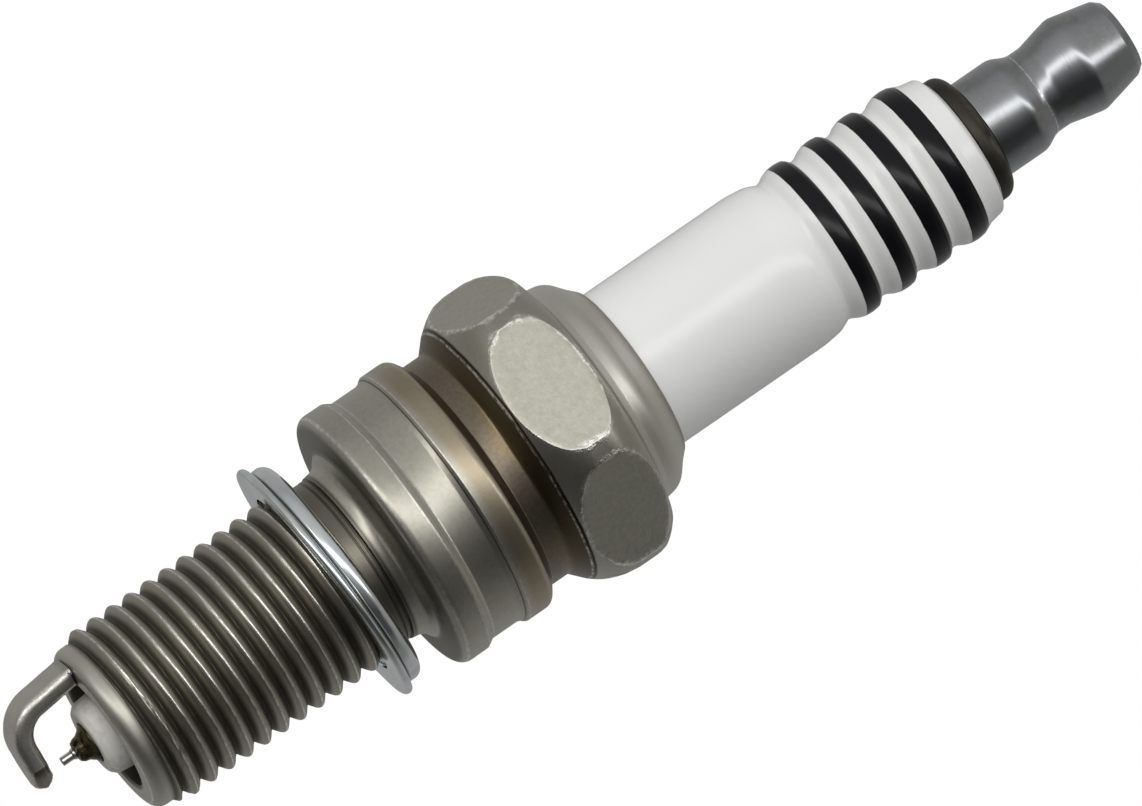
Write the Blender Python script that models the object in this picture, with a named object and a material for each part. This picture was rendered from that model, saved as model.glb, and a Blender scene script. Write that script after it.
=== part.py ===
"""Spark plug with an M12 x 1.25 thread, 19 mm reach and an 11/16 inch hexagon, built piece by piece.

The origin is on the plug's axis in the plane of the shell's seat. +Z runs to the terminal.
A flat of the hexagon faces -Y. Lengths are in millimetres until a mesh is made.
"""

import math

import bmesh
import bpy
from mathutils import Matrix, Vector

MM = 0.001
SIDES = 30  # facets round most turned pieces, so that nested pieces stay parallel
STUD_SIDES = 15
PIN_SIDES = 20
FIT = 0.04  # gap left between fixed pieces that touch

# Shell
REACH = 19.2  # seat to the shell's firing end
THREAD_CREST = 5.82
THREAD_ROOT = 5.25
PITCH = 1.25
THREAD_START = -18.3
THREAD_END = -3.6
THREAD_PHASE = -17.33 + PITCH * (1 - 193.2 / 360)  # height of a crest at angle 0
NECK = 5.42
PILOT = 5.36
SEAT_RADIUS = 8.09
BARREL = 8.42
BUCKLE = 7.52
ACROSS_FLATS = 17.3
HEX_CORNER = 9.66
HEX_BOTTOM = 8.2
HEX_TOP = 15.0
CRIMP_TOP = 17.7
NOSE_BORE = 3.65
BODY_BORE = 4.4
UPPER_BORE = 6.15

# Insulator
NOSE_FACE = -20.25
NOSE_TIP_RADIUS = 2.5
NOSE_ROOT_RADIUS = 3.25
SEAT_CONE = -11.95  # height of the insulator's 45 degree seat where its radius is 0
SHELL_CONE = -12.6  # the same for the ledge inside the shell
LOWER_BODY = 4.2
FLANGE = 5.95
HEAD = 5.12
RIB = 5.08
GROOVE_DEPTH = 0.45
FIRST_GROOVE = 29.9
GROOVE_PITCH = 2.5
GROOVES = 4
INSULATOR_TOP = 41.05
ELECTRODE_BORE = 1.3
STUD_BORE = 1.95

# Electrodes
WIRE = 0.275
WIRE_TIP = -22.12
CONE_TIP = -21.15
JACKET = 1.22
ELECTRODE_HEAD_TOP = -3.6
CORE = 0.62
CORE_TIP = -17.0
ARM_INNER_FACE = -23.0
ARM_THICKNESS = 1.25
ARM_WIDTH = 2.45
ARM_CORNER = 0.35
ARM_TIP_WIDTH = 0.95
ARM_RADIUS = 4.45
ARM_PAST_AXIS = 0.55
ARM_TRIM_START = 1.1
ARM_BEND = 1.75
ARM_ANGLE = math.radians(217.2)
PAD_RADIUS = 0.5
PAD_THICKNESS = 0.06

# Seals, terminal and gasket
RESISTOR_BOTTOM = -0.6
RESISTOR_TOP = 8.0
STUD_KNURL_BOTTOM = 10.0
STUD_KNURL_TOP = 14.2
STUD_SHANK = 1.75
COLLAR = 4.07
COLLAR_TOP = 42.25
STUD_THREAD_CREST = 1.95
STUD_THREAD_ROOT = 1.58
STUD_PITCH = 0.7
STUD_TOP = 50.0
NUT_BORE = 2.1
NUT_TOP = 52.3
RING_WIRE = 0.42
GASKET_INNER = 6.05
GASKET_OUTER = 8.0
GASKET_BEAD = 7.5
GASKET_BOTTOM = -4.0
GASKET_TOP = -2.33
GASKET_TILT = math.radians(4.8)
GASKET_TILT_ANGLE = math.radians(244.2)


def clear_scene():
    for obj in list(bpy.data.objects):
        bpy.data.objects.remove(obj, do_unlink=True)


def finish(name, color, roughness, metallic):
    """A Principled material."""
    made = bpy.data.materials.new(name)
    made.use_nodes = True
    shader = made.node_tree.nodes["Principled BSDF"]
    shader.inputs["Base Color"].default_value = (*color, 1)
    shader.inputs["Roughness"].default_value = roughness
    shader.inputs["Metallic"].default_value = metallic
    return made


def rounded(points, steps=2):
    """The outline with each (radius, height, fillet) corner replaced by an arc of that fillet."""
    result = []
    for i, point in enumerate(points):
        corner = Vector(point[:2])
        fillet = point[2] if len(point) > 2 else 0
        if not fillet:
            result.append(tuple(corner))
            continue
        before = (Vector(points[i - 1][:2]) - corner).normalized()
        after = (Vector(points[(i + 1) % len(points)][:2]) - corner).normalized()
        half = before.angle(after) / 2
        centre = corner + (before + after).normalized() * fillet / math.sin(half)
        start = corner + before * fillet / math.tan(half) - centre
        end = corner + after * fillet / math.tan(half) - centre
        for step in range(steps + 1):
            result.append(tuple(centre + fillet * start.slerp(end, step / steps)))
    return result


def as_object(name, mesh, material):
    """Places a bmesh in the scene as an object that is shaded smooth up to sharp edges."""
    bmesh.ops.recalc_face_normals(mesh, faces=mesh.faces)
    data = bpy.data.meshes.new(name)
    mesh.to_mesh(data)
    mesh.free()
    data.shade_smooth()
    data.set_sharp_from_angle(angle=math.radians(35))
    data.materials.append(material)
    obj = bpy.data.objects.new(name, data)
    bpy.context.scene.collection.objects.link(obj)
    return obj


def turned(name, points, material, sides=SIDES):
    """A solid turned about Z. An outline that starts and ends on the axis is closed by it."""
    mesh = bmesh.new()
    outline = rounded(points)
    verts = [mesh.verts.new((radius * MM, 0, height * MM)) for radius, height in outline]
    edges = [mesh.edges.new(pair) for pair in zip(verts, verts[1:])]
    if outline[0][0] > 0:
        edges.append(mesh.edges.new((verts[-1], verts[0])))
    bmesh.ops.spin(
        mesh, geom=verts + edges, axis=(0, 0, 1), cent=(0, 0, 0), angle=math.tau, steps=sides
    )
    bmesh.ops.remove_doubles(mesh, verts=mesh.verts, dist=0.0001 * MM)
    return as_object(name, mesh, material)


def loft(name, sections, material):
    """A closed skin over a row of sections with the same number of points."""
    mesh = bmesh.new()
    rings = [[mesh.verts.new(Vector(point) * MM) for point in section] for section in sections]
    for low, high in zip(rings, rings[1:]):
        for i in range(len(low)):
            mesh.faces.new((low[i - 1], low[i], high[i], high[i - 1]))
    mesh.faces.new(rings[0])
    mesh.faces.new(rings[-1][::-1])
    return as_object(name, mesh, material)


def as_cutter(obj, target):
    """Cuts this solid from another one and hides it."""
    obj.hide_render = True
    obj.display_type = "WIRE"
    cut = target.modifiers.new(obj.name, "BOOLEAN")
    cut.operation = "DIFFERENCE"
    cut.object = obj


def groove_cutter(name, crest, root, pitch, phase, bottom, top, flat, fade, sides):
    """A right-hand helical V that cuts a thread's groove and fades out at its top end."""
    outer = crest + 0.1
    steps = round((top - bottom) / pitch * sides)
    first = math.ceil((bottom - phase) / pitch * sides - sides / 2)
    sections = []
    for step in range(steps + 1):
        turn = (first + step) / sides
        height = phase + pitch * (turn + 0.5)
        rise = max(0, 1 - (steps - step) / (fade * sides))
        depth = root + (outer - 0.02 - root) * rise
        spread = (outer - depth) * math.tan(math.radians(30))
        angle = math.tau * turn
        outline = (
            (depth, -flat / 2),
            (outer, -flat / 2 - spread),
            (outer, flat / 2 + spread),
            (depth, flat / 2),
        )
        sections.append(
            [(r * math.cos(angle), r * math.sin(angle), height + z) for r, z in outline]
        )
    return loft(name, sections, None)


def hexagon_cutter(name, across, outer, bottom, top):
    """What lies outside a hexagonal prism, with flats at right angles to Y."""
    mesh = bmesh.new()
    rings = []
    for size in (across / 2 / math.cos(math.pi / 6), outer):
        for height in (bottom, top):
            angles = [math.tau * i / 6 for i in range(6)]
            rings.append(
                [
                    mesh.verts.new((size * MM * math.cos(a), size * MM * math.sin(a), height * MM))
                    for a in angles
                ]
            )
    inner_low, inner_high, outer_low, outer_high = rings
    loop = (inner_low, inner_high, outer_high, outer_low)
    for first, second in zip(loop, loop[1:] + loop[:1]):
        for i in range(6):
            mesh.faces.new((first[i - 1], first[i], second[i], second[i - 1]))
    return as_object(name, mesh, None)


def make_shell(nickel):
    """Steel shell: thread, seat, barrel, buckling groove, hexagon and crimped lip."""
    cone_inner = (NOSE_BORE, NOSE_BORE + SHELL_CONE)
    cone_outer = (BODY_BORE, BODY_BORE + SHELL_CONE)
    outside = [
        (NOSE_BORE, -REACH, 0.15),
        (PILOT, -REACH, 0.6),
        (PILOT, THREAD_START + 0.3),
        (THREAD_CREST, THREAD_START + 0.75),
        (THREAD_CREST, THREAD_END),
        (NECK, THREAD_END + 0.45),
        (NECK, -1.45),
        (NECK + 0.1, -1.4),
        (NECK + 0.25, -0.65, 0.8),
        (6.5, 0),
        (SEAT_RADIUS + 0.35, 0, 0.45),
        (BARREL, 1.85, 0.15),
        (BARREL - 0.3, 2.35),
        (BARREL - 0.3, 4.15),
        (BARREL, 4.6, 0.2),
        (BARREL, 6.2, 0.7),
        (BUCKLE, 6.95),
        (BUCKLE, HEX_BOTTOM, 0.2),
        (8.5, 9.15),
        (9.33, 10.35),
        (HEX_CORNER, 11.5),
        (HEX_CORNER, 12.7),
        (9.31, 13.8),
        (8.5, 14.6),
        (7.35, HEX_TOP),
        (7.15, HEX_TOP + 0.4),
        (7.0, 16.3),
        (6.0, 17.12),
        (5.5, CRIMP_TOP),
        (HEAD + FIT, CRIMP_TOP),
    ]
    lip = 0.95
    lip_arc = [
        (HEAD + 0.08 + lip * math.sin(a), CRIMP_TOP - 1.95 + lip * math.cos(a))
        for a in (math.radians(15 * i) for i in range(7))
    ]
    inside = [
        *lip_arc,
        (UPPER_BORE, 4.75),
        (BODY_BORE, 3.0),
        cone_outer,
        cone_inner,
    ]
    shell = turned("shell", outside + inside, nickel)
    hexagon = hexagon_cutter("hexagon_cutter", ACROSS_FLATS, 14, HEX_BOTTOM + 0.4, HEX_TOP + 0.2)
    as_cutter(hexagon, shell)
    groove = groove_cutter(
        "thread_cutter",
        THREAD_CREST,
        THREAD_ROOT,
        PITCH,
        THREAD_PHASE,
        THREAD_START,
        THREAD_END + 0.6,
        0.32,
        0.6,
        SIDES,
    )
    as_cutter(groove, shell)


def make_ground_electrode(nickel_alloy, platinum):
    """Flat side wire welded to the shell's end, bent over the tip and trimmed to a blunt V."""
    outward = Vector((math.cos(ARM_ANGLE), math.sin(ARM_ANGLE), 0))
    across = Vector((-outward.y, outward.x, 0))
    up = Vector((0, 0, 1))
    middle = ARM_INNER_FACE - ARM_THICKNESS / 2
    lean = 0.18
    bend_centre = Vector((ARM_RADIUS - lean - ARM_BEND, middle + ARM_BEND))
    stations = [
        (Vector((ARM_RADIUS, -REACH - 0.02)), 0.0, ARM_WIDTH),
        (Vector((ARM_RADIUS - 0.04, -20.3)), math.radians(3), ARM_WIDTH),
    ]
    for step in range(7):
        turn = math.radians(5 + 85 * step / 6)
        spot = bend_centre + ARM_BEND * Vector((math.cos(turn), -math.sin(turn)))
        stations.append((spot, turn, ARM_WIDTH))
    stations.append((Vector((ARM_TRIM_START, middle)), math.pi / 2, ARM_WIDTH))
    stations.append((Vector((-ARM_PAST_AXIS, middle)), math.pi / 2, ARM_TIP_WIDTH))
    sections = []
    for (radius, height), turn, width in stations:
        thickness_way = outward * math.cos(turn) - up * math.sin(turn)
        half_width = width / 2
        half_thick = ARM_THICKNESS / 2
        corner = min(ARM_CORNER, half_width * 0.7)
        section = []
        for quarter in range(4):
            sign_w = (1, -1, -1, 1)[quarter]
            sign_t = (1, 1, -1, -1)[quarter]
            for step in range(3):
                angle = math.radians(90 * quarter + 45 * step)
                w = sign_w * (half_width - corner) + corner * math.cos(angle)
                t = sign_t * (half_thick - corner) + corner * math.sin(angle)
                place = outward * radius + up * height + across * w + thickness_way * t
                section.append(tuple(place))
        sections.append(section)
    loft("ground_electrode", sections, nickel_alloy)
    top = ARM_INNER_FACE + 0.01 + PAD_THICKNESS
    turned(
        "ground_electrode_pad",
        [
            (0, top),
            (PAD_RADIUS, top, 0.04),
            (PAD_RADIUS, ARM_INNER_FACE + 0.01),
            (0, ARM_INNER_FACE + 0.01),
        ],
        platinum,
        16,
    )


def make_insulator(alumina):
    """Alumina insulator: nose, seat cone, flange, smooth head and leakage ribs."""
    grooves = []
    for i in range(GROOVES):
        middle = FIRST_GROOVE + i * GROOVE_PITCH
        grooves += [
            (RIB, middle - 0.85),
            (RIB - 0.2, middle - 0.5),
            (RIB - GROOVE_DEPTH, middle - 0.18),
            (RIB - GROOVE_DEPTH, middle + 0.18),
            (RIB - 0.2, middle + 0.5),
            (RIB, middle + 0.85),
        ]
    turned(
        "insulator",
        [
            (ELECTRODE_BORE, NOSE_FACE),
            (NOSE_TIP_RADIUS - 0.1, NOSE_FACE, 0.95),
            (NOSE_TIP_RADIUS + 0.05, -18.5),
            (NOSE_ROOT_RADIUS, NOSE_ROOT_RADIUS + SEAT_CONE),
            (LOWER_BODY, LOWER_BODY + SEAT_CONE),
            (LOWER_BODY, 3.1),
            (FLANGE, 4.85),
            (FLANGE, 11.6),
            (HEAD, 12.5),
            (HEAD, 28.1),
            *grooves,
            (4.65, 39.9, 0.3),
            (4.57, 40.25),
            (4.1, INSULATOR_TOP, 0.2),
            (STUD_BORE, INSULATOR_TOP),
            (STUD_BORE, -4.9),
            (ELECTRODE_BORE, -5.6),
        ],
        alumina,
    )


def make_centre_electrode(nickel_alloy, copper, iridium):
    """Nickel alloy jacket with a copper core, and the fine wire that the spark leaves from."""
    turned(
        "centre_electrode",
        [
            (0, CONE_TIP),
            (0.6, CONE_TIP, 0.08),
            (0.76, -20.9),
            (0.87, -20.62),
            (1.05, -20.38),
            (JACKET, -20.2),
            (JACKET, -5.56),
            (1.87, -4.86),
            (1.87, ELECTRODE_HEAD_TOP),
            (CORE + FIT, ELECTRODE_HEAD_TOP),
            (CORE + FIT, CORE_TIP - FIT),
            (0, CORE_TIP - 0.3),
        ],
        nickel_alloy,
        PIN_SIDES,
    )
    turned(
        "centre_electrode_core",
        [
            (0, CORE_TIP - 0.2),
            (CORE, CORE_TIP),
            (CORE, ELECTRODE_HEAD_TOP),
            (0, ELECTRODE_HEAD_TOP),
        ],
        copper,
        PIN_SIDES,
    )
    turned(
        "firing_tip",
        [
            (0, WIRE_TIP),
            (WIRE, WIRE_TIP, 0.04),
            (WIRE, -21.36),
            (0.36, -21.3),
            (0.36, CONE_TIP - 0.01),
            (0, CONE_TIP - 0.01),
        ],
        iridium,
        16,
    )


def make_conductor_stack(seal_glass, resistor_glass):
    """Fired glass between the centre electrode and the terminal stud, inside the insulator."""
    fill = STUD_BORE - FIT
    turned(
        "lower_glass_seal",
        [
            (0, ELECTRODE_HEAD_TOP + FIT),
            (fill, ELECTRODE_HEAD_TOP + FIT),
            (fill, RESISTOR_BOTTOM - FIT),
            (0, RESISTOR_BOTTOM - FIT),
        ],
        seal_glass,
    )
    turned(
        "resistor",
        [
            (0, RESISTOR_BOTTOM),
            (fill, RESISTOR_BOTTOM),
            (fill, RESISTOR_TOP),
            (0, RESISTOR_TOP),
        ],
        resistor_glass,
    )
    turned(
        "upper_glass_seal",
        [
            (0, RESISTOR_TOP + FIT),
            (fill, RESISTOR_TOP + FIT),
            (fill, STUD_KNURL_TOP),
            (1.5 + FIT, STUD_KNURL_TOP),
            (1.5 + FIT, STUD_KNURL_BOTTOM - FIT),
            (0, STUD_KNURL_BOTTOM - FIT),
        ],
        seal_glass,
    )


def make_terminal(dark_steel, bright_steel):
    """Stud with a collar on the insulator and an M4 thread, and the nut screwed on to it."""
    rings = []
    for i in range(5):
        middle = STUD_KNURL_BOTTOM + 0.6 + 0.6 * i
        rings += [(1.5, middle - 0.2), (1.38, middle), (1.5, middle + 0.2)]
    stud = turned(
        "terminal_stud",
        [
            (0, STUD_KNURL_BOTTOM),
            (1.2, STUD_KNURL_BOTTOM),
            (1.5, STUD_KNURL_BOTTOM + 0.3),
            *rings,
            (1.5, STUD_KNURL_TOP + 0.2),
            (STUD_SHANK, STUD_KNURL_TOP + 0.6),
            (STUD_SHANK, INSULATOR_TOP + FIT),
            (COLLAR, INSULATOR_TOP + FIT, 0.1),
            (COLLAR, COLLAR_TOP, 0.9),
            (STUD_THREAD_ROOT, COLLAR_TOP),
            (STUD_THREAD_ROOT, COLLAR_TOP + 0.7),
            (STUD_THREAD_CREST, COLLAR_TOP + 1.0),
            (STUD_THREAD_CREST, STUD_TOP - 0.4),
            (STUD_THREAD_ROOT, STUD_TOP),
            (0, STUD_TOP),
        ],
        dark_steel,
        STUD_SIDES,
    )
    groove = groove_cutter(
        "stud_thread_cutter",
        STUD_THREAD_CREST,
        STUD_THREAD_ROOT,
        STUD_PITCH,
        COLLAR_TOP,
        COLLAR_TOP + 0.9,
        STUD_TOP + 0.4,
        0.12,
        0.01,
        STUD_SIDES,
    )
    as_cutter(groove, stud)
    bottom = COLLAR_TOP + FIT
    turned(
        "terminal_nut",
        [
            (NUT_BORE + 0.25, bottom),
            (3.1, bottom, 0.12),
            (3.1, 45.05, 0.4),
            (2.62, 46.0, 0.4),
            (2.62, 47.0, 0.6),
            (2.92, 48.25, 0.6),
            (3.1, 49.2, 0.5),
            (2.52, 51.85, 0.2),
            (2.15, NUT_TOP, 0.2),
            (0, NUT_TOP),
            (0, 50.9),
            (NUT_BORE, 50.3),
            (NUT_BORE, bottom + 0.25),
        ],
        bright_steel,
    )


def make_packing(soft_steel, ring_steel, talc):
    """What seals the insulator in the shell: the seat ring, two wire rings and pressed powder."""
    gap = 0.06
    inner, outer = 3.71, 4.3
    turned(
        "inner_seat_gasket",
        [
            (inner, inner + SHELL_CONE + gap),
            (outer, outer + SHELL_CONE + gap),
            (outer, outer + SEAT_CONE - 0.35),
            (LOWER_BODY - 0.1, LOWER_BODY - 0.1 + SEAT_CONE - gap),
            (inner, inner + SEAT_CONE - gap),
        ],
        soft_steel,
    )
    middle = (HEAD + UPPER_BORE) / 2
    for name, height in (("lower_packing_ring", 12.63), ("upper_packing_ring", 15.85)):
        circle = [
            (middle + RING_WIRE * math.cos(a), height + RING_WIRE * math.sin(a))
            for a in (math.tau * i / 10 for i in range(10))
        ]
        turned(name, circle, ring_steel)
    turned(
        "talc_filling",
        [
            (HEAD + FIT, 13.1),
            (UPPER_BORE - FIT, 13.1),
            (UPPER_BORE - FIT, 15.38),
            (HEAD + FIT, 15.38),
        ],
        talc,
    )


def make_seat_gasket(zinc):
    """Folded crush gasket, loose and a little askew on the shell's neck."""
    middle = (GASKET_BOTTOM + GASKET_TOP) / 2
    gasket = turned(
        "seat_gasket",
        [
            (GASKET_INNER, GASKET_BOTTOM - middle),
            (GASKET_OUTER, GASKET_BOTTOM - middle, 0.15),
            (GASKET_OUTER, GASKET_BOTTOM + 0.43 - middle, 0.15),
            (7.3, GASKET_BOTTOM + 0.5 - middle),
            (GASKET_BEAD, GASKET_BOTTOM + 0.75 - middle),
            (GASKET_BEAD, GASKET_TOP - middle, 0.6),
            (GASKET_INNER + 0.45, GASKET_TOP - middle),
            (GASKET_INNER, GASKET_TOP - 0.4 - middle),
        ],
        zinc,
    )
    tilt_line = (-math.sin(GASKET_TILT_ANGLE), math.cos(GASKET_TILT_ANGLE), 0)
    gasket.matrix_world = Matrix.Translation((0, 0, middle * MM)) @ Matrix.Rotation(
        GASKET_TILT, 4, tilt_line
    )


clear_scene()
make_shell(finish("nickel_plate", (0.42, 0.40, 0.36), 0.35, 1))
make_ground_electrode(
    finish("electrode_alloy", (0.36, 0.34, 0.31), 0.4, 1),
    finish("platinum", (0.75, 0.74, 0.72), 0.25, 1),
)
make_insulator(finish("glazed_alumina", (0.86, 0.86, 0.84), 0.12, 0))
make_centre_electrode(
    finish("dark_alloy", (0.12, 0.10, 0.08), 0.35, 1),
    finish("copper", (0.85, 0.45, 0.30), 0.3, 1),
    finish("iridium", (0.80, 0.79, 0.75), 0.2, 1),
)
make_conductor_stack(
    finish("seal_glass", (0.20, 0.12, 0.08), 0.4, 0),
    finish("resistor_glass", (0.04, 0.04, 0.04), 0.6, 0),
)
make_terminal(
    finish("dark_steel", (0.16, 0.14, 0.12), 0.4, 1),
    finish("bright_steel", (0.55, 0.57, 0.60), 0.22, 1),
)
make_packing(
    finish("soft_steel", (0.45, 0.44, 0.42), 0.4, 1),
    finish("ring_steel", (0.40, 0.39, 0.38), 0.4, 1),
    finish("talc", (0.78, 0.76, 0.72), 0.9, 0),
)
make_seat_gasket(finish("zinc_plate", (0.66, 0.68, 0.68), 0.22, 1))
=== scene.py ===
"""Looks of the spark plug, piece by piece, in the order in which a plug is put together.

Outlines and lengths are in millimetres, and become metres when a mesh is made.
"""
import math

import bpy
from mathutils import Matrix, Vector, noise


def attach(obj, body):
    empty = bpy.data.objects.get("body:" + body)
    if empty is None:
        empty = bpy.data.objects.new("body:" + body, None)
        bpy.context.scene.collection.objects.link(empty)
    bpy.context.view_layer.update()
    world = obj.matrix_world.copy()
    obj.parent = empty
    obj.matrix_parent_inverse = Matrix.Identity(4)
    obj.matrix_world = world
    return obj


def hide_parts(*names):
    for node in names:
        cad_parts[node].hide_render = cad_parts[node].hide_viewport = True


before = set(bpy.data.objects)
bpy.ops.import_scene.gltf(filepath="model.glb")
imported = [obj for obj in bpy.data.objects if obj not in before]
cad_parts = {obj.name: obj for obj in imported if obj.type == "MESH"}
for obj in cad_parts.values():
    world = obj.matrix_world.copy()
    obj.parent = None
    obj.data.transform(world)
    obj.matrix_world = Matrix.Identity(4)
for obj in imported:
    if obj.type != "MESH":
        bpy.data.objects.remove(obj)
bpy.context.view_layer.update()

# ---------------------------------------------------------------------------------------------
# The shell. Cold-forged steel, turned on a lathe, its M12 x 1.25 thread rolled between dies, and
# nickel-plated all over. The hexagon's flats are pressed, so their rims carry a small burr.
# ---------------------------------------------------------------------------------------------

MM = 0.001
END_FACE = -19.2  # where the shell ends, round the nose
THREAD_PITCH = 1.25
THREAD_PHASE = -17.33 + THREAD_PITCH * (1 - 193.2 / 360)  # a crest's height at angle 0
THREAD_ROOT = 5.25
THREAD_DEPTH = 0.56
THREAD_START, THREAD_END = -18.85, -3.1
GROOVE = 7.52  # radius of the buckled groove
HEX_FOOT, HEX_TOP = 9.15, 14.6  # the forging's lower and upper end
HEX_LOW, HEX_HIGH = 11.5, 12.7  # its full width lies between these heights
FLAT = 8.65  # from the axis to a flat of the hexagon
CORNER = 9.66
FOOT_DROP, FOOT_POWER = 0.256, 1.75  # how the forging rounds off below its full width
TOP_DROP, TOP_POWER = 0.2865, 2.1  # and above it
FLAT_COLUMNS = math.radians(22.5)  # half the columns' angle that is squeezed into a flat
SHELL_COLUMNS = 192


def rounded(points, step=9):
    """The outline with each (radius, height, fillet) corner turned into an arc of fine steps."""
    result = []
    for i, point in enumerate(points):
        corner = Vector(point[:2])
        if len(point) < 3:
            result.append(tuple(corner))
            continue
        before = (Vector(points[i - 1][:2]) - corner).normalized()
        after = (Vector(points[(i + 1) % len(points)][:2]) - corner).normalized()
        half = before.angle(after) / 2
        centre = corner + (before + after).normalized() * point[2] / math.sin(half)
        start = corner + before * point[2] / math.tan(half) - centre
        end = corner + after * point[2] / math.tan(half) - centre
        steps = max(2, math.ceil(math.degrees(start.angle(end)) / step))
        for k in range(steps + 1):
            result.append(tuple(centre + point[2] * start.slerp(end, k / steps)))
    return result


def refined(outline, low, high, step, inner):
    """The outline with rows added between two heights, outside a radius, at most step apart."""
    result = [outline[0]]
    for a, b in zip(outline, outline[1:]):
        if low <= min(a[1], b[1]) and max(a[1], b[1]) <= high and a[0] > inner:
            rows = math.ceil((Vector(b) - Vector(a)).length / step)
            result += [tuple(Vector(a).lerp(Vector(b), k / rows)) for k in range(1, rows)]
        result.append(b)
    return result


def on_lathe(name, outline, columns):
    """Spins an outline of (radius, height) about the plug's axis and closes it."""
    bpy.ops.object.select_all(action="DESELECT")
    bpy.context.tool_settings.mesh_select_mode = (True, False, False)
    bpy.ops.mesh.primitive_plane_add(size=MM)
    piece = bpy.context.object
    piece.name = piece.data.name = name
    bpy.ops.object.mode_set(mode="EDIT")
    bpy.ops.mesh.select_all(action="SELECT")
    bpy.ops.mesh.merge(type="CENTER")
    if outline[0][0] > 0:
        outline = [*outline, outline[0]]
    points = [Vector((radius * MM, 0, height * MM)) for radius, height in outline]
    bpy.ops.transform.translate(value=points[0])
    for here, there in zip(points, points[1:]):
        bpy.ops.mesh.extrude_region_move(TRANSFORM_OT_translate={"value": there - here})
    bpy.ops.mesh.select_all(action="SELECT")
    bpy.ops.mesh.spin(steps=columns, angle=math.tau, center=(0, 0, 0), axis=(0, 0, 1))
    bpy.ops.mesh.select_all(action="SELECT")
    bpy.ops.mesh.remove_doubles(threshold=0.0001 * MM)
    bpy.ops.mesh.normals_make_consistent(inside=False)
    bpy.ops.object.mode_set(mode="OBJECT")
    return piece


def smooth(piece, angle=30):
    """Shades a piece smooth up to its sharp edges."""
    bpy.ops.object.select_all(action="DESELECT")
    piece.select_set(True)
    bpy.context.view_layer.objects.active = piece
    bpy.ops.object.shade_smooth_by_angle(angle=math.radians(angle))


def above(value):
    """The value where it is above zero, and zero elsewhere."""
    return value.maths("MAXIMUM", 0) if isinstance(value, Value) else max(value, 0)


def turned_radius(height):
    """Radius of the hexagon's forging at a height, before its flats are pressed."""
    below = FOOT_DROP * above(HEX_LOW - height) ** FOOT_POWER
    return CORNER - below - TOP_DROP * above(height - HEX_HIGH) ** TOP_POWER


def helix_offset(angle, height, pitch, phase):
    """Distance along the axis from the nearest crest of a right-hand thread."""
    turns = (height - phase) / pitch - angle / math.tau
    return (turns - round(turns)) * pitch


class Value:
    """One socket of a material's nodes. Arithmetic on it adds the Math nodes."""

    def __init__(self, socket):
        self.socket = socket

    def node(self, kind, settings, inputs, output=0):
        tree = self.socket.id_data
        made = tree.nodes.new("ShaderNode" + kind)
        for name, setting in settings.items():
            if name == "stops":
                ramp = made.color_ramp.elements
                ramp[0].position, ramp[1].position = setting[0][0], setting[-1][0]
                between = [ramp.new(stop[0]) for stop in setting[1:-1]]
                for element, stop in zip((ramp[0], *between, ramp[len(ramp) - 1]), setting):
                    element.color = (*stop[1], 1)
            else:
                setattr(made, name, setting)
        for name, given in inputs.items():
            if isinstance(given, Value):
                tree.links.new(given.socket, made.inputs[name])
            else:
                made.inputs[name].default_value = given
        return Value(made.outputs[output])

    def maths(self, operation, *others):
        return self.node("Math", {"operation": operation}, dict(enumerate((self, *others))))

    def __add__(self, other):
        return self.maths("ADD", other)

    def __sub__(self, other):
        return self.maths("SUBTRACT", other)

    def __rsub__(self, other):
        return self.maths("MULTIPLY_ADD", -1, other)

    def __mul__(self, other):
        return self.maths("MULTIPLY", other)

    def __truediv__(self, other):
        return self.maths("DIVIDE", other)

    def __pow__(self, other):
        return self.maths("POWER", other)

    def __abs__(self):
        return self.maths("ABSOLUTE")

    __radd__, __rmul__ = __add__, __mul__


def rise(value, low, high):
    """0 below low and 1 above high, with a smooth step between."""
    return value.node(
        "MapRange",
        {"interpolation_type": "SMOOTHSTEP"},
        {"Value": value, "From Min": low, "From Max": high},
    )


def near(value, place, reach):
    """1 at a place, smoothly down to 0 at reach from it."""
    return 1 - rise(abs(value - place), 0, reach)


def within(value, low, high, soft):
    """1 between low and high, with soft ends."""
    return rise(value, low - soft / 2, low + soft / 2) * (
        1 - rise(value, high - soft / 2, high + soft / 2)
    )


def colour(shade):
    """A colour as a node takes it."""
    return shade if isinstance(shade, Value) else (*shade, 1)


def tinted(share, below, over):
    """One colour laid over another, by a share from 0 to 1."""
    return share.node(
        "Mix", {"data_type": "RGBA"}, {0: share, 6: colour(below), 7: colour(over)}, 2
    )


def grain(spot, size, detail=2.0, rough=0.5):
    """Even cloudy grain from 0 to 1, with lumps of about the given size in mm."""
    return spot.node(
        "TexNoise",
        {},
        {"Vector": spot, "Scale": 0.6 / size, "Detail": detail, "Roughness": rough},
    )


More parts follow.
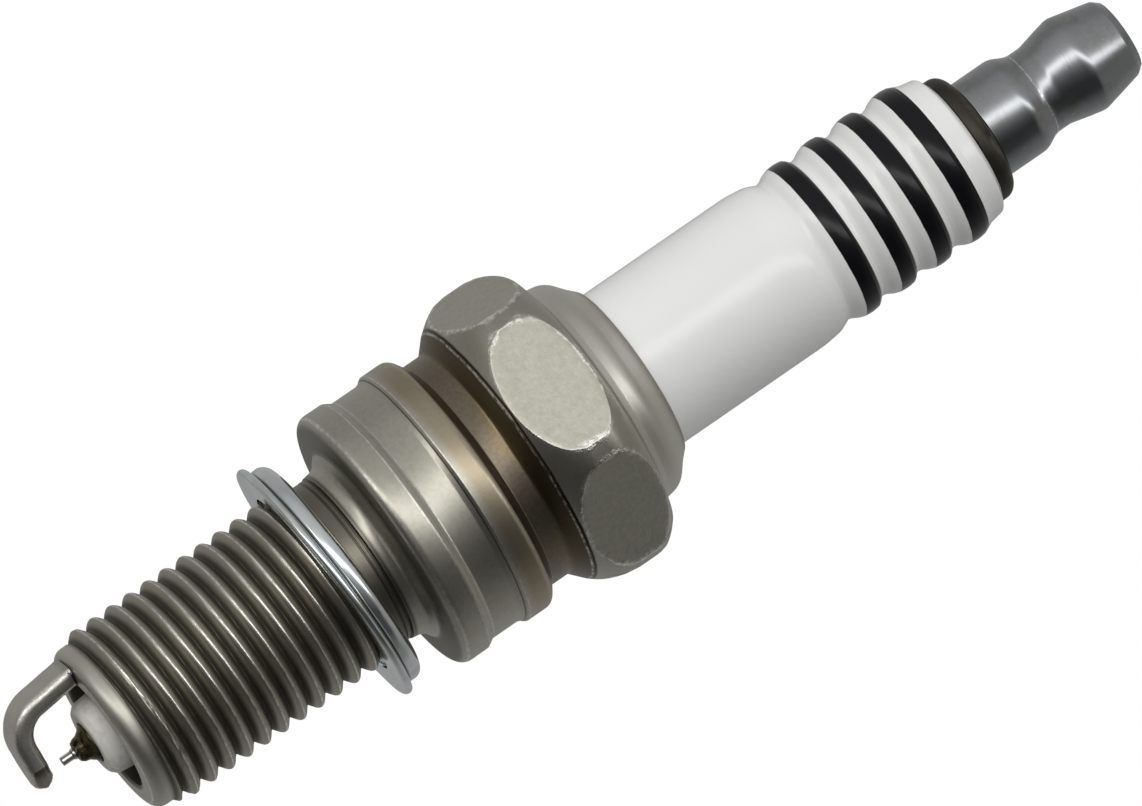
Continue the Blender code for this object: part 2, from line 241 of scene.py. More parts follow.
class Finish:
    """A material under way: its shader, and where on the piece a point is, in mm."""

    def __init__(self, name, **constants):
        self.material = bpy.data.materials.new(name)
        self.material.use_nodes = True
        self.shader = self.material.node_tree.nodes["Principled BSDF"]
        for key, number in constants.items():
            socket = key.replace("_", " ").title().replace("Ior", "IOR")
            self.shader.inputs[socket].default_value = number
        place = Value(self.material.node_tree.nodes.new("ShaderNodeTexCoord").outputs["Object"])
        self.spot = place.node("VectorMath", {"operation": "SCALE"}, {0: place, "Scale": 1 / MM})
        parts = self.spot.node("SeparateXYZ", {}, {0: self.spot})
        outputs = parts.socket.node.outputs
        self.x, self.y, self.height = (Value(out) for out in outputs)
        self.radius = (self.x * self.x + self.y * self.y) ** 0.5

    def angle(self):
        """Angle round the axis, in radians."""
        return self.y.maths("ARCTAN2", self.x)

    def rings(self, size, drift=0.02):
        """Fine turning marks round the axis, about size mm apart."""
        along = self.height + (self.x * 0.7 + self.y) * drift
        line = along.node("CombineXYZ", {}, {0: self.radius / size, 2: along / size})
        return line.node(
            "TexNoise", {}, {"Vector": line, "Scale": 0.6, "Detail": 2.0, "Roughness": 0.6}
        )

    def set(self, base, roughness, height, metallic=None):
        """Links what varies over the piece. Height is in mm, proud of the mesh."""
        tree = self.material.node_tree
        tree.links.new(base.socket, self.shader.inputs["Base Color"])
        for key, made in (("Roughness", roughness), ("Metallic", metallic)):
            if isinstance(made, Value):
                tree.links.new(made.socket, self.shader.inputs[key])
        bump = height.node("Bump", {}, {"Distance": MM, "Height": height})
        tree.links.new(bump.socket, self.shader.inputs["Normal"])
        return self.material


def dress(piece, material, body, slot, *nodes):
    """Gives a piece its material, its body and the CAD nodes that it stands for; the slot is not
    used.
    """
    piece.data.materials.clear()
    piece.data.materials.append(material)
    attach(piece, body)
    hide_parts(*nodes)


under_lip = [  # the lip's inner side lies round the upper packing ring
    (5.20 + 0.95 * math.sin(math.radians(a)), 15.75 + 0.95 * math.cos(math.radians(a)))
    for a in range(0, 91, 10)
]
hexagon_rows = [
    *(HEX_FOOT + (HEX_LOW - HEX_FOOT) * k / 4 for k in range(5)),
    *(HEX_LOW + (HEX_HIGH - HEX_LOW) * k / 12 for k in range(1, 13)),
    *(HEX_HIGH + (HEX_TOP - HEX_HIGH) * k / 6 for k in range(1, 7)),
]
shell_outline = rounded(
    [
        (3.65, END_FACE, 0.15),
        (5.36, END_FACE, 0.7),
        (5.36, -18.0),
        (5.82, -17.55),
        (5.82, -3.6),
        (5.42, -3.15),
        (5.42, -1.92, 0.03),
        (5.39, -1.88),
        (5.39, -1.80),
        (5.43, -1.76),
        (5.43, -1.62),
        (5.37, -1.58),
        (5.37, -1.5),
        (5.44, -1.46),
        (5.50, -1.40, 0.03),
        (5.62, -0.62, 0.9),
        (6.45, 0, 0.3),
        (8.44, 0, 0.7),
        (8.42, 1.85, 0.2),
        (8.12, 2.35, 0.3),
        (8.12, 4.15, 0.3),
        (8.24, 4.46, 0.04),
        (8.27, 4.47),
        (8.42, 4.66, 0.12),
        (8.42, 6.24, 0.6),
        (GROOVE, 6.85, 0.15),
        (GROOVE, 8.2, 0.25),
        (8.47, 9.08, 0.08),
        *((turned_radius(height), height) for height in hexagon_rows),
        (7.35, 15.0, 0.16),
        (7.15, 15.4, 0.25),
        (7.0, 16.3, 1.4),
        (6.0, 17.15, 1.2),
        (5.45, 17.7, 0.3),
        (5.20, 17.7, 0.03),
        *under_lip,
        (6.15, 4.75),
        (4.4, 3.0),
        (4.4, -8.2),
        (3.65, -8.95),
    ]
)
shell_outline = refined(shell_outline, THREAD_START, THREAD_END, 0.05, THREAD_ROOT)
shell = on_lathe("plug_shell", shell_outline, SHELL_COLUMNS)
FLAT_EDGE = math.acos(FLAT / CORNER)  # half the angle that a flat takes up


def rim_heights(turn):
    """Lower and upper height of a flat's rim at an angle from the flat's middle."""
    if abs(turn) >= FLAT_EDGE - 1e-6:
        return HEX_LOW, HEX_HIGH
    short = CORNER - FLAT / math.cos(turn)
    low = HEX_LOW - (short / FOOT_DROP) ** (1 / FOOT_POWER)
    return low, HEX_HIGH + (short / TOP_DROP) ** (1 / TOP_POWER)


rim = set()
for vertex in shell.data.vertices:  # presses the six flats, with a row of points on each rim
    radius = math.hypot(vertex.co.x, vertex.co.y) / MM
    height = vertex.co.z / MM
    angle = math.atan2(vertex.co.y, vertex.co.x)
    if HEX_FOOT - 0.01 < height < HEX_TOP + 0.01 and radius > 8:
        turn = (angle + math.radians(120)) % math.radians(60) - math.radians(30)
        middle = angle - turn
        if abs(turn) <= FLAT_COLUMNS:
            turn *= FLAT_EDGE / FLAT_COLUMNS
        else:
            share = (abs(turn) - FLAT_COLUMNS) / (math.radians(30) - FLAT_COLUMNS)
            turn = math.copysign(FLAT_EDGE + share * (math.radians(30) - FLAT_EDGE), turn)
        low, high = rim_heights(turn)
        if height < HEX_LOW - 0.001:
            height = HEX_FOOT + (height - HEX_FOOT) * (low - HEX_FOOT) / (HEX_LOW - HEX_FOOT)
        elif height > HEX_HIGH + 0.001:
            height = HEX_TOP - (HEX_TOP - height) * (HEX_TOP - high) / (HEX_TOP - HEX_HIGH)
        else:
            share = (height - HEX_LOW) / (HEX_HIGH - HEX_LOW)
            height = low + share * (high - low)
            on_side = abs(abs(turn) - FLAT_EDGE) < 1e-4
            if abs(turn) < FLAT_EDGE + 1e-4 and (on_side or share < 1e-3 or share > 0.999):
                rim.add(vertex.index)
        angle = middle + turn
        radius = min(turned_radius(height), FLAT / math.cos(turn))
        vertex.co = Vector((radius * math.cos(angle), radius * math.sin(angle), height)) * MM


def bevel_edges(piece, wanted, offset, segments):
    """Rounds the edges of a mesh that pass a test."""
    bpy.context.tool_settings.mesh_select_mode = (False, True, False)
    for group in (piece.data.polygons, piece.data.vertices, piece.data.edges):
        for part in group:
            part.select = False
    for edge in piece.data.edges:
        if wanted(edge):
            edge.select = True
            for i in edge.vertices:
                piece.data.vertices[i].select = True
    bpy.ops.object.mode_set(mode="EDIT")
    bpy.ops.mesh.bevel(
        offset=offset * MM, segments=segments, affect="EDGES", clamp_overlap=False
    )
    bpy.ops.object.mode_set(mode="OBJECT")


bevel_edges(shell, lambda edge: rim.issuperset(edge.vertices), 0.04, 2)
for vertex in shell.data.vertices:  # rolls the thread, uneven on its first turn
    radius = math.hypot(vertex.co.x, vertex.co.y) / MM
    height = vertex.co.z / MM
    if not (THREAD_START < height < -2.9 and radius > 5.2):
        continue
    angle = math.atan2(vertex.co.y, vertex.co.x)
    offset = helix_offset(angle, height, THREAD_PITCH, THREAD_PHASE)
    fill = (0.5 + 0.5 * math.cos(math.tau * offset / THREAD_PITCH)) ** 0.72
    ring = Vector((math.cos(angle), math.sin(angle), height))
    wobble = noise.noise(ring * 9) * (0.06 if height < -16.4 else 0.012)
    cut_in = min(1, max(0, (height + 18.6) / 0.35)) * min(1, max(0, (-2.95 - height) / 0.75))
    thread = THREAD_ROOT + (THREAD_DEPTH + wobble) * fill
    radius = min(radius, thread * cut_in + radius * (1 - cut_in))
    vertex.co.x, vertex.co.y = radius * MM * math.cos(angle), radius * MM * math.sin(angle)
smooth(shell, 24)

plate = Finish("nickel_plate", metallic=1.0)
fine = grain(plate.spot, 0.06, 3)
coarse = grain(plate.spot, 0.16, 4, 0.65)
cloud = grain(plate.spot, 1.6, 4)
flecks = rise(grain(plate.spot, 0.22, 4, 0.7), 0.38, 0.62)
marks = plate.rings(0.05)
shade = tinted(cloud, (0.47, 0.45, 0.385), (0.565, 0.545, 0.47))
shade = tinted(rise(coarse, 0.40, 0.68) * 0.30, shade, (0.36, 0.34, 0.28))
rough = 0.25 + 0.10 * fine + 0.06 * cloud
depth = 0.0022 * fine + 0.0012 * marks + 0.0035 * coarse
# thread: painted shade in the roots, and painted highlight lines on the crests and the rolling lap
on_thread = 1 - rise(plate.height, -3.4, -2.9)
turns = (plate.height - THREAD_PHASE) / THREAD_PITCH - plate.angle() / math.tau
offset = (turns - turns.maths("ROUND")) * THREAD_PITCH
rolled = on_thread * rise(plate.height, -18.3, -17.9)
# painted shade: the roots are darkened where the V falls in shade
in_root = (1 - rise(plate.radius, 5.32, 5.66)) * rolled
shade = tinted(rolled * (0.40 + 0.3 * cloud), shade, (0.39, 0.355, 0.29))
shade = tinted(in_root * 0.85, shade, (0.075, 0.068, 0.053))
# painted highlight: a bright line along each crest, broken by worn flecks
on_crest = near(offset, 0.0, 0.085) * on_thread * rise(plate.radius, 5.68, 5.77)
shade = tinted(on_crest * (0.25 + 0.75 * flecks), shade, (0.95, 0.94, 0.90))
# painted highlight line on the rolling lap, which is also a real crease in the bump
lap = near(offset, 0.30, 0.05) * rolled
shade = tinted(lap * (0.25 + 0.5 * flecks), shade, (0.62, 0.60, 0.53))
rough = rough + 0.06 * rolled + 0.16 * in_root - 0.24 * on_crest
depth = depth + on_crest * flecks * 0.006 + lap * 0.012
# pilot band at the firing end, pale, with a flecked painted highlight on its rim
pilot = 1 - rise(plate.height, -18.4, -18.1)
shade = tinted(pilot * 0.6, shade, (0.68, 0.66, 0.59))
rim_line = near(plate.radius, 4.78, 0.12) * (1 - rise(plate.height, -19.12, -19.0))
shade = tinted(rim_line * flecks * 0.9, shade, (0.93, 0.92, 0.87))
rough = rough + pilot * 0.10 - rim_line * 0.15
# neck: darker olive-brown over fine dark turned lines, and painted shade under the seat
on_neck = within(plate.height, -3.1, -1.15, 0.2) * (1 - rise(plate.radius, 6.3, 6.6))
shade = tinted(on_neck * 0.85, shade, (0.16, 0.145, 0.115))
turned = None
for place, reach in ((-1.84, 0.05), (-1.70, 0.03), (-1.54, 0.05), (-1.43, 0.03), (-1.25, 0.025)):
    line = near(plate.height, place, reach)
    turned = line if turned is None else turned.maths("MAXIMUM", line)
shade = tinted(turned * on_neck * 0.85, shade, (0.03, 0.027, 0.02))
# painted shade on the seat face and its fillet, above the gasket
under_seat = rise(plate.height, -0.2, -0.1) * (1 - rise(plate.height, -0.02, 0.25))
under_seat = under_seat * within(plate.radius, 6.2, 8.2, 0.4)
shade = tinted(under_seat * 0.7, shade, (0.17, 0.155, 0.13))
rough = rough + under_seat * 0.15
# barrel: turned marks, and painted highlights on the edges of its rings, flecked like rubbed metal
sway = plate.height + (grain(plate.spot, 1.4, 4, 0.65) - 0.5) * 0.12
edges = near(sway, 0.40, 0.16)
for place, reach in ((1.78, 0.07), (2.34, 0.05), (4.68, 0.07), (6.12, 0.08), (14.66, 0.04)):
    edges = edges.maths("MAXIMUM", near(sway, place, reach))
edges = edges * rise(plate.radius, 8.0, 8.1)
# the ring edges are painted bright as highlights, in flecks
shade = tinted(edges * (0.30 + 0.70 * flecks) * 0.8, shade, (0.88, 0.87, 0.81))
# painted shade in the creases of the ring steps
creases = near(sway, 4.47, 0.07).maths("MAXIMUM", near(sway, 2.12, 0.04) * 0.4)
shade = tinted(creases * 0.8, shade, (0.07, 0.063, 0.05))
# heat of the buckled groove: straw on the ring below it, then a brown film with violet patches
patches = grain(plate.spot, 2.6, 3)
straw = within(plate.height, 5.0, 6.35, 0.6) * (0.35 + 0.8 * patches)
shade = tinted(straw * 0.9, shade, (0.39, 0.315, 0.20))
film = within(plate.height, 6.30, 9.16, 0.12)
warm = rise(patches + 0.35 * (plate.height - 7.9), 0.42, 0.62)
heat = tinted(warm, (0.200, 0.155, 0.115), (0.215, 0.162, 0.075))
heat = tinted(rise(coarse, 0.35, 0.65) * 0.5, heat, (0.13, 0.10, 0.055))
shade = tinted(film * 0.88, shade, heat)
# darker still at the groove's upper end, under the forging
shade = tinted(within(plate.height, 8.25, 9.12, 0.4) * 0.75, shade, (0.080, 0.064, 0.040))
# hexagon: grainy pressed flats with a burr on their rims, painted bright as a highlight, and smooth
# darker corners
across = abs(plate.y)
for side in (30, 150):
    way = plate.x * math.cos(math.radians(side)) + plate.y * math.sin(math.radians(side))
    across = across.maths("MAXIMUM", abs(way))
on_forging = within(plate.height, 9.2, 15.0, 0.1)
on_flat = rise(across, FLAT - 0.03, FLAT - 0.004) * on_forging
scale = grain(plate.spot, 0.22, 5, 0.72)
flat_shade = tinted(rise(scale, 0.25, 0.75), (0.47, 0.455, 0.385), (0.60, 0.585, 0.50))
shade = tinted(on_forging * (1 - on_flat) * (0.05 + 0.35 * patches), shade, (0.33, 0.31, 0.25))
shade = tinted(on_flat * 0.85, shade, flat_shade)
rough = rough + on_flat * (0.04 + 0.12 * scale)
depth = depth + on_flat * (coarse * 0.006 + scale * 0.006)
rim_gap = abs(turned_radius(plate.height) * across / plate.radius - FLAT)
ragged = 0.04 + 0.22 * rise(grain(plate.spot, 0.8, 4, 0.65), 0.35, 0.7)
burr_and_highlight = (1 - rise(rim_gap / ragged, 0.2, 1.0)) * within(plate.height, 9.28, HEX_TOP, 0.06)
burr_and_highlight = burr_and_highlight * (0.25 + 0.75 * rise(patches, 0.38, 0.58))
# the burr painted bright as a highlight along the flats' rims
shade = tinted(burr_and_highlight * (0.15 + 0.85 * flecks), shade, (0.93, 0.92, 0.87))
rough = rough - burr_and_highlight * 0.14
depth = depth + burr_and_highlight * flecks * 0.014
# lap where the forging folds over the groove: a dark crack, beside it flecks of rubbed metal and
# painted highlight
drift = (grain(plate.spot, 1.2, 3, 0.6) - 0.5) * 0.10
lap_line = near(plate.height + drift, 9.18, 0.12) * rise(plate.radius, 8.3, 8.4) * (1 - burr_and_highlight)
shade = tinted(lap_line * rise(scale, 0.30, 0.42), shade, (0.012, 0.011, 0.010))
lap_flecks = near(plate.height + drift, 9.04, 0.08) * rise(plate.radius, 8.25, 8.35) * flecks
shade = tinted(lap_flecks * 0.85, shade, (0.86, 0.85, 0.78))
depth = depth - lap_line * 0.03
# crimped lip: satin, painted lighter to stand in for its broad highlight, with a rough brown inner
# edge
lip = rise(plate.height, 14.9, 15.1)
shade = tinted(lip * 0.6, shade, (0.76, 0.74, 0.67))
rough = rough + lip * 0.05
lip_edge = within(plate.height, 16.9, 18.0, 0.3) * (1 - rise(plate.radius, 5.45, 5.95))
shade = tinted(lip_edge * (0.4 + 0.5 * patches), shade, (0.26, 0.22, 0.18))
rough = rough + lip_edge * 0.15
depth = depth + lip_edge * coarse * 0.02
# firing end: a faint grey soot film on the end face, and painted shade in the bore
sooty = 1 - rise(plate.height, -19.15, -18.7)
shade = tinted(sooty * 0.15 * (1 - rim_line), shade, (0.26, 0.24, 0.21))
inside = 1 - rise(plate.radius, 3.75, 3.95)
shade = tinted(inside * 0.8, shade, (0.06, 0.055, 0.05))
dress(shell, plate.set(shade, rough, depth), "plug", "nickel_plate", "shell")

# ---------------------------------------------------------------------------------------------
# The ground electrode. A flat nickel-alloy wire, resistance-welded on its end to the shell, then
# trimmed to a blunt V and bent over the firing tip. The weld leaves a small bead at its corner.
# ---------------------------------------------------------------------------------------------

ARM_THICKNESS = 1.25
ARM_WIDTH = 2.45
TIP_WIDTH = 0.95
TAPER = 0.612  # share of its width that the arm loses from the trim's start to its tip
ARM_ANGLE = math.radians(217.2)
ARM_MIDDLE = -23.625  # height of the bent-over part's middle
LEG = Vector((4.45, -19.22)), Vector((4.12, -21.869))
LEAN = math.radians(7)
BEND_CENTRE, BEND_RADIUS = Vector((2.135, -21.625)), 2.0
LEG_LENGTH = (LEG[1] - LEG[0]).length
BEND_LENGTH = BEND_RADIUS * (math.pi / 2 - LEAN)
TRIM_START = LEG_LENGTH + BEND_LENGTH + BEND_CENTRE.x - 0.95
ARM_LENGTH = LEG_LENGTH + BEND_LENGTH + BEND_CENTRE.x + 0.6


def along_arm(length):
    """Radius and height of the arm's middle, and its turn, at a length from its foot."""
    if length < LEG_LENGTH:
        share = length / LEG_LENGTH
        return LEG[0].lerp(LEG[1], share), LEAN * share
    turn = LEAN + (length - LEG_LENGTH) / BEND_RADIUS
    if turn < math.pi / 2:
        return BEND_CENTRE + BEND_RADIUS * Vector((math.cos(turn), -math.sin(turn))), turn
    past = length - LEG_LENGTH - BEND_LENGTH
    return Vector((BEND_CENTRE.x - past, ARM_MIDDLE)), math.pi / 2


bpy.ops.object.select_all(action="DESELECT")
bpy.ops.mesh.primitive_plane_add(size=MM)
arm = bpy.context.object
arm.name = arm.data.name = "side_wire"
bpy.ops.object.mode_set(mode="EDIT")
bpy.ops.mesh.select_all(action="SELECT")
bpy.ops.transform.resize(value=(ARM_THICKNESS, ARM_WIDTH, 1))
bpy.ops.mesh.extrude_region_move(TRANSFORM_OT_translate={"value": (0, 0, TRIM_START * MM)})
bpy.ops.mesh.extrude_region_move(
    TRANSFORM_OT_translate={"value": (0, 0, (ARM_LENGTH - TRIM_START) * MM)}
)
bpy.ops.transform.resize(value=(1, TIP_WIDTH / ARM_WIDTH, 1))
bpy.ops.mesh.select_all(action="SELECT")
bpy.ops.mesh.normals_make_consistent(inside=False)
bpy.ops.object.mode_set(mode="OBJECT")


def runs_along(edge):
    """Whether an edge of the straight arm runs along it."""
    low, high = (arm.data.vertices[i].co.z for i in edge.vertices)
    return abs(high - low) > 0.1 * MM


bevel_edges(arm, runs_along, 0.45, 8)
bpy.ops.object.mode_set(mode="EDIT")
places = [0.14 * k for k in range(1, int((ARM_LENGTH - 0.6) / 0.14))]
places += [ARM_LENGTH - 0.6 + 0.05 * k for k in range(12)]  # closer together at the tip
for place in places:
    bpy.ops.mesh.select_all(action="SELECT")
    if abs(place - TRIM_START) > 0.03:
        bpy.ops.mesh.bisect(plane_co=(0, 0, place * MM), plane_no=(0, 0, 1))
bpy.ops.object.mode_set(mode="OBJECT")
for vertex in arm.data.vertices:
    thick, wide, length = vertex.co / MM
    spot, turn = along_arm(length)
    foot = 1 + 0.05 * max(0.0, 1 - length / 0.3) ** 2  # upset by the weld
    thick, wide = thick * foot, wide * foot
    past = max(0.0, (length - TRIM_START) / (ARM_LENGTH - TRIM_START))
    wide *= (1 - TAPER * past**1.6) / (1 - TAPER * past)  # the trim is a little bellied
    tip_share = min(1.0, max(0.0, (length - ARM_LENGTH + 0.5) / 0.5))
    thick *= max(0.3, (1 - tip_share**2.4) ** 0.5)  # and its end is rubbed round
    thick += 0.012 * noise.noise(vertex.co / MM * 3)
    out, height = spot.x + thick * math.cos(turn), spot.y - thick * math.sin(turn)
    vertex.co = Vector((out, wide, height)) * MM
bpy.ops.object.select_all(action="DESELECT")
bpy.ops.mesh.primitive_ico_sphere_add(
    subdivisions=4, radius=0.11 * MM, location=(4.86 * MM, 1.19 * MM, -19.33 * MM)
)
bead = bpy.context.object
bead.scale = (1.2, 0.8, 1.0)
arm.select_set(True)
bpy.context.view_layer.objects.active = arm
bpy.ops.object.join()
arm.rotation_euler.z = ARM_ANGLE
bpy.ops.object.transform_apply(location=True, rotation=True, scale=True)
smooth(arm, 24)

satin = Finish("electrode_alloy", metallic=1.0)
fine = grain(satin.spot, 0.05, 4, 0.65)
cloud = grain(satin.spot, 0.9, 3)
shade = tinted(cloud, (0.52, 0.50, 0.44), (0.68, 0.66, 0.59))
out = satin.x * math.cos(ARM_ANGLE) + satin.y * math.sin(ARM_ANGLE)
side = satin.y * math.cos(ARM_ANGLE) - satin.x * math.sin(ARM_ANGLE)
flecks = rise(grain(satin.spot, 0.09, 3, 0.7), 0.44, 0.6)
# flecks along the arm's edges, painted bright as highlights and as wear
wear_and_highlight = near(abs(side), ARM_WIDTH / 2 - 0.16, 0.3) * flecks
shade = tinted(wear_and_highlight * 0.8, shade, (0.86, 0.84, 0.78))
# sheared faces of the blunt V
half_width = ARM_WIDTH / 2 - (0.95 - out) * 0.5
cut = rise(abs(side) - half_width, -0.07, -0.02) * (1 - rise(out, 0.86, 0.98))
cut = cut.maths("MAXIMUM", 1 - rise(out, -0.53, -0.46))
cut = cut * (1 - rise(satin.height, -22.9, -22.7))
sheared = tinted(rise(out, 0.1, 0.8), (0.30, 0.265, 0.21), (0.07, 0.058, 0.045))
shade = tinted(cut * 0.75, shade, sheared)
# painted highlight in flecks on the rim where the trim begins
lip_of_cut = near(out, 0.97, 0.07) * (1 - rise(satin.height, -22.9, -22.7))
shade = tinted(lip_of_cut * flecks, shade, (0.85, 0.83, 0.78))
# dull grey by the weld, painted shadow in the gap on its outer side, and a painted glint on the
# bead
at_weld = rise(satin.height, -19.75, -19.3)
shade = tinted(at_weld * 0.4, shade, (0.24, 0.22, 0.20))
weld_gap = rise(satin.height, -19.36, -19.31) * (1 - rise(out, 4.66, 4.78))
shade = tinted(weld_gap * 0.9, shade, (0.03, 0.025, 0.02))
bead_shine = near(out, 4.90, 0.24) * rise(side, 1.02, 1.12) * rise(satin.height, -19.47, -19.42)
shade = tinted(bead_shine, shade, (0.95, 0.94, 0.90))
rough = 0.30 + 0.12 * fine - 0.1 * wear_and_highlight
depth = 0.006 * fine + cut * grain(satin.spot, 0.12, 4, 0.7) * 0.02
dress(arm, satin.set(shade, rough, depth), "plug", "electrode_alloy", "ground_electrode")

# ---------------------------------------------------------------------------------------------
# The pad on the ground electrode. A small precious-metal disc, welded on opposite the firing tip
# and pressed nearly flush by the weld.
# ---------------------------------------------------------------------------------------------

pad_outline = rounded([(0, -23.12), (0.36, -23.12), (0.36, -22.965, 0.02), (0, -22.955)])
pad = on_lathe("pad_disc", pad_outline, 48)
smooth(pad, 40)
pale_metal = Finish("platinum", metallic=1.0)
fine = grain(pale_metal.spot, 0.06, 3)
shade = tinted(fine, (0.62, 0.60, 0.57), (0.82, 0.81, 0.78))
pad_metal = pale_metal.set(shade, 0.18 + 0.12 * fine, 0.003 * fine)
dress(pad, pad_metal, "plug", "platinum", "ground_electrode_pad")

# ---------------------------------------------------------------------------------------------
# The insulator. Sintered alumina, ground to shape. Its head and ribs are glazed glossy white with
# a black band printed round each rib; its nose, inside the shell, stays bare.
# ---------------------------------------------------------------------------------------------

RIB = 5.05
GROOVE_PITCH = 2.49
FIRST_GROOVE = 29.88
BANDS = ((30.80, 32.02), (33.28, 34.52), (35.74, 36.98), (38.24, 39.50))
grooves = []
for i in range(4):
    middle = FIRST_GROOVE + GROOVE_PITCH * i
    grooves += [
        (4.64, middle - 0.05, 0.14),
        (4.70, middle + 0.22, 0.6),
        (4.93, middle + 0.62, 0.9),
        (RIB - 0.02, middle + 0.96, 0.16),
        (RIB + 0.03, middle + 1.42, 1.5),
        (RIB - 0.03, middle + GROOVE_PITCH - 0.62, 0.12),
        (4.90, middle + GROOVE_PITCH - 0.46, 0.2),
        (4.70, middle + GROOVE_PITCH - 0.26, 0.25),
    ]
insulator_outline = rounded(
    [
        (1.3, -20.12, 0.06),
        (2.0, -20.12, 0.3),
        (2.36, -19.75, 0.3),
        (2.5, -18.5, 3.0),
        (3.25, -8.7),
        (4.2, -7.75),
        (4.2, 3.1),
        (5.95, 4.85),
        (5.95, 11.6),
        (5.12, 12.5),
        (5.12, 27.9, 4.0),
        (4.98, 29.1, 1.5),
        (4.74, 29.64, 0.4),
        *grooves[:-2],
        (4.72, 39.92, 0.25),
        (4.56, 40.8, 0.3),
        (4.15, 41.05, 0.06),
        (1.95, 41.05),
        (1.95, -4.9),
        (1.3, -5.6),
    ],
    7,
)
insulator = on_lathe("glazed_insulator", insulator_outline, 160)
for vertex in insulator.data.vertices:  # the black print stands a little proud of the glaze
    height = vertex.co.z / MM
    radius = math.hypot(vertex.co.x, vertex.co.y) / MM
    if radius > 4.5 and any(low < height < high for low, high in BANDS):
        vertex.co.x *= 1 + 0.012 / radius
        vertex.co.y *= 1 + 0.012 / radius
smooth(insulator, 40)

glaze = Finish("glazed_alumina", coat_roughness=0.04, specular_ior_level=0.25)
soft = grain(glaze.spot, 3.0, 3)
peel = grain(glaze.spot, 0.9, 2)
wander = (grain(glaze.spot, 0.35, 3, 0.6) - 0.5) * 0.05
black = None
for low, high in BANDS:
    printed = rise(glaze.height + wander, low - 0.02, low + 0.02) * (
        1 - rise(glaze.height + wander * 0.3, high - 0.015, high + 0.015)
    )
    black = printed if black is None else black.maths("MAXIMUM", printed)
black = black * rise(glaze.radius, 4.3, 4.4)
white = tinted(soft, (0.80, 0.80, 0.785), (0.85, 0.85, 0.84))
# painted shade: the grooves are a faint grey
in_groove = 1 - rise(glaze.radius, 4.66, 4.9)
white = tinted(in_groove * rise(glaze.height, 28.5, 29.0) * 0.12, white, (0.72, 0.71, 0.68))
shade = tinted(black, white, tinted(soft, (0.003, 0.003, 0.004), (0.006, 0.006, 0.008)))
bare = 1 - rise(glaze.height, 4.0, 5.0)
mottle = grain(glaze.spot, 0.45, 4, 0.6)
nose = tinted(mottle, (0.80, 0.78, 0.71), (0.93, 0.92, 0.87))
streaks = rise(grain(glaze.spot, 0.8, 3, 0.7), 0.50, 0.72)
nose = tinted(streaks * 0.4, nose, (0.36, 0.29, 0.21))
burnt = 1 - rise(glaze.radius, 1.32, 1.4)
nose = tinted(burnt * 0.7, nose, (0.16, 0.13, 0.10))
shade = tinted(bare, shade, nose)
rough = 0.12 + 0.03 * peel + bare * 0.35 - black * 0.06
shine = 0.6 - bare * 0.6 - black * 0.56
depth = peel * 0.003 + bare * mottle * 0.015 + (1 - bare) * wander * black * 0.05
enamel = glaze.set(shade, rough, depth)
enamel.node_tree.links.new(shine.socket, glaze.shader.inputs["Coat Weight"])
dress(insulator, enamel, "plug", "glazed_alumina", "insulator")

# ---------------------------------------------------------------------------------------------
# The centre electrode. A dark heat-proof nickel alloy jacket with a copper core pressed in from
# behind. Its tip is turned to a stepped cone, browned by the laser weld that holds the wire.
# ---------------------------------------------------------------------------------------------

jacket_outline = rounded(
    [
        (0, -21.15),
        (0.6, -21.15, 0.08),
        (0.74, -20.92, 0.1),
        (0.80, -20.66, 0.1),
        (1.03, -20.38, 0.06),
        (1.22, -20.2, 0.05),
        (1.22, -5.56),
        (1.87, -4.86),
        (1.87, -3.6),
        (0.66, -3.6),
        (0.66, -17.04),
        (0, -17.3),
    ]
)
jacket = on_lathe("dark_cone", jacket_outline, 96)
for vertex in jacket.data.vertices:  # the weld's melt is lumpy
    if vertex.co.z < -20.3 * MM:
        lump = 1 + 0.06 * noise.noise(vertex.co / MM * 2.6)
        vertex.co.x, vertex.co.y = vertex.co.x * lump, vertex.co.y * lump
smooth(jacket, 30)
oxide = Finish("dark_alloy", metallic=1.0)
mottle = grain(oxide.spot, 0.30, 4, 0.65)
shade = tinted(rise(mottle, 0.35, 0.68), (0.035, 0.028, 0.020), (0.20, 0.175, 0.09))
melted = rise(grain(oxide.spot, 0.14, 3, 0.6), 0.55, 0.72) * (1 - rise(oxide.height, -20.75, -20.4))
shade = tinted(melted * 0.8, shade, (0.42, 0.38, 0.24))
rough = 0.26 + 0.22 * mottle
depth = 0.03 * mottle + 0.004 * oxide.rings(0.08)
dress(jacket, oxide.set(shade, rough, depth), "plug", "dark_alloy", "centre_electrode")


def plain_stock(node, slot_name, light, dark, size, roughness, metallic=0.0, depth=0.004):
    """A procedural finish for a solid of the frame that stays as it is."""
    finish = Finish(slot_name + "_of_" + node, metallic=metallic)
    specks = grain(finish.spot, size, 4, 0.6)
    made = finish.set(tinted(specks, dark, light), roughness + 0.15 * specks, depth * specks)
    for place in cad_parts[node].material_slots:
        place.material = made


COPPER = (0.88, 0.48, 0.32), (0.62, 0.30, 0.18)
plain_stock("centre_electrode_core", "copper", *COPPER, 0.3, 0.25, 1.0)

# ---------------------------------------------------------------------------------------------
# The firing tip. A fine iridium-alloy wire, laser-welded on the cone. A small bead of melt goes
# round its foot.
# ---------------------------------------------------------------------------------------------

tip_outline = rounded(
    [
        (0, -22.12),
        (0.275, -22.12, 0.05),
        (0.275, -21.42, 0.04),
        (0.34, -21.36, 0.05),
        (0.36, -21.26, 0.04),
        (0.33, -21.16),
        (0, -21.16),
    ]
)
tip = on_lathe("fine_wire", tip_outline, 64)
smooth(tip, 40)
wire = Finish("iridium", metallic=1.0)
drawn = grain(wire.spot, 0.05, 3)
shade = tinted(drawn, (0.70, 0.69, 0.65), (0.88, 0.87, 0.83))
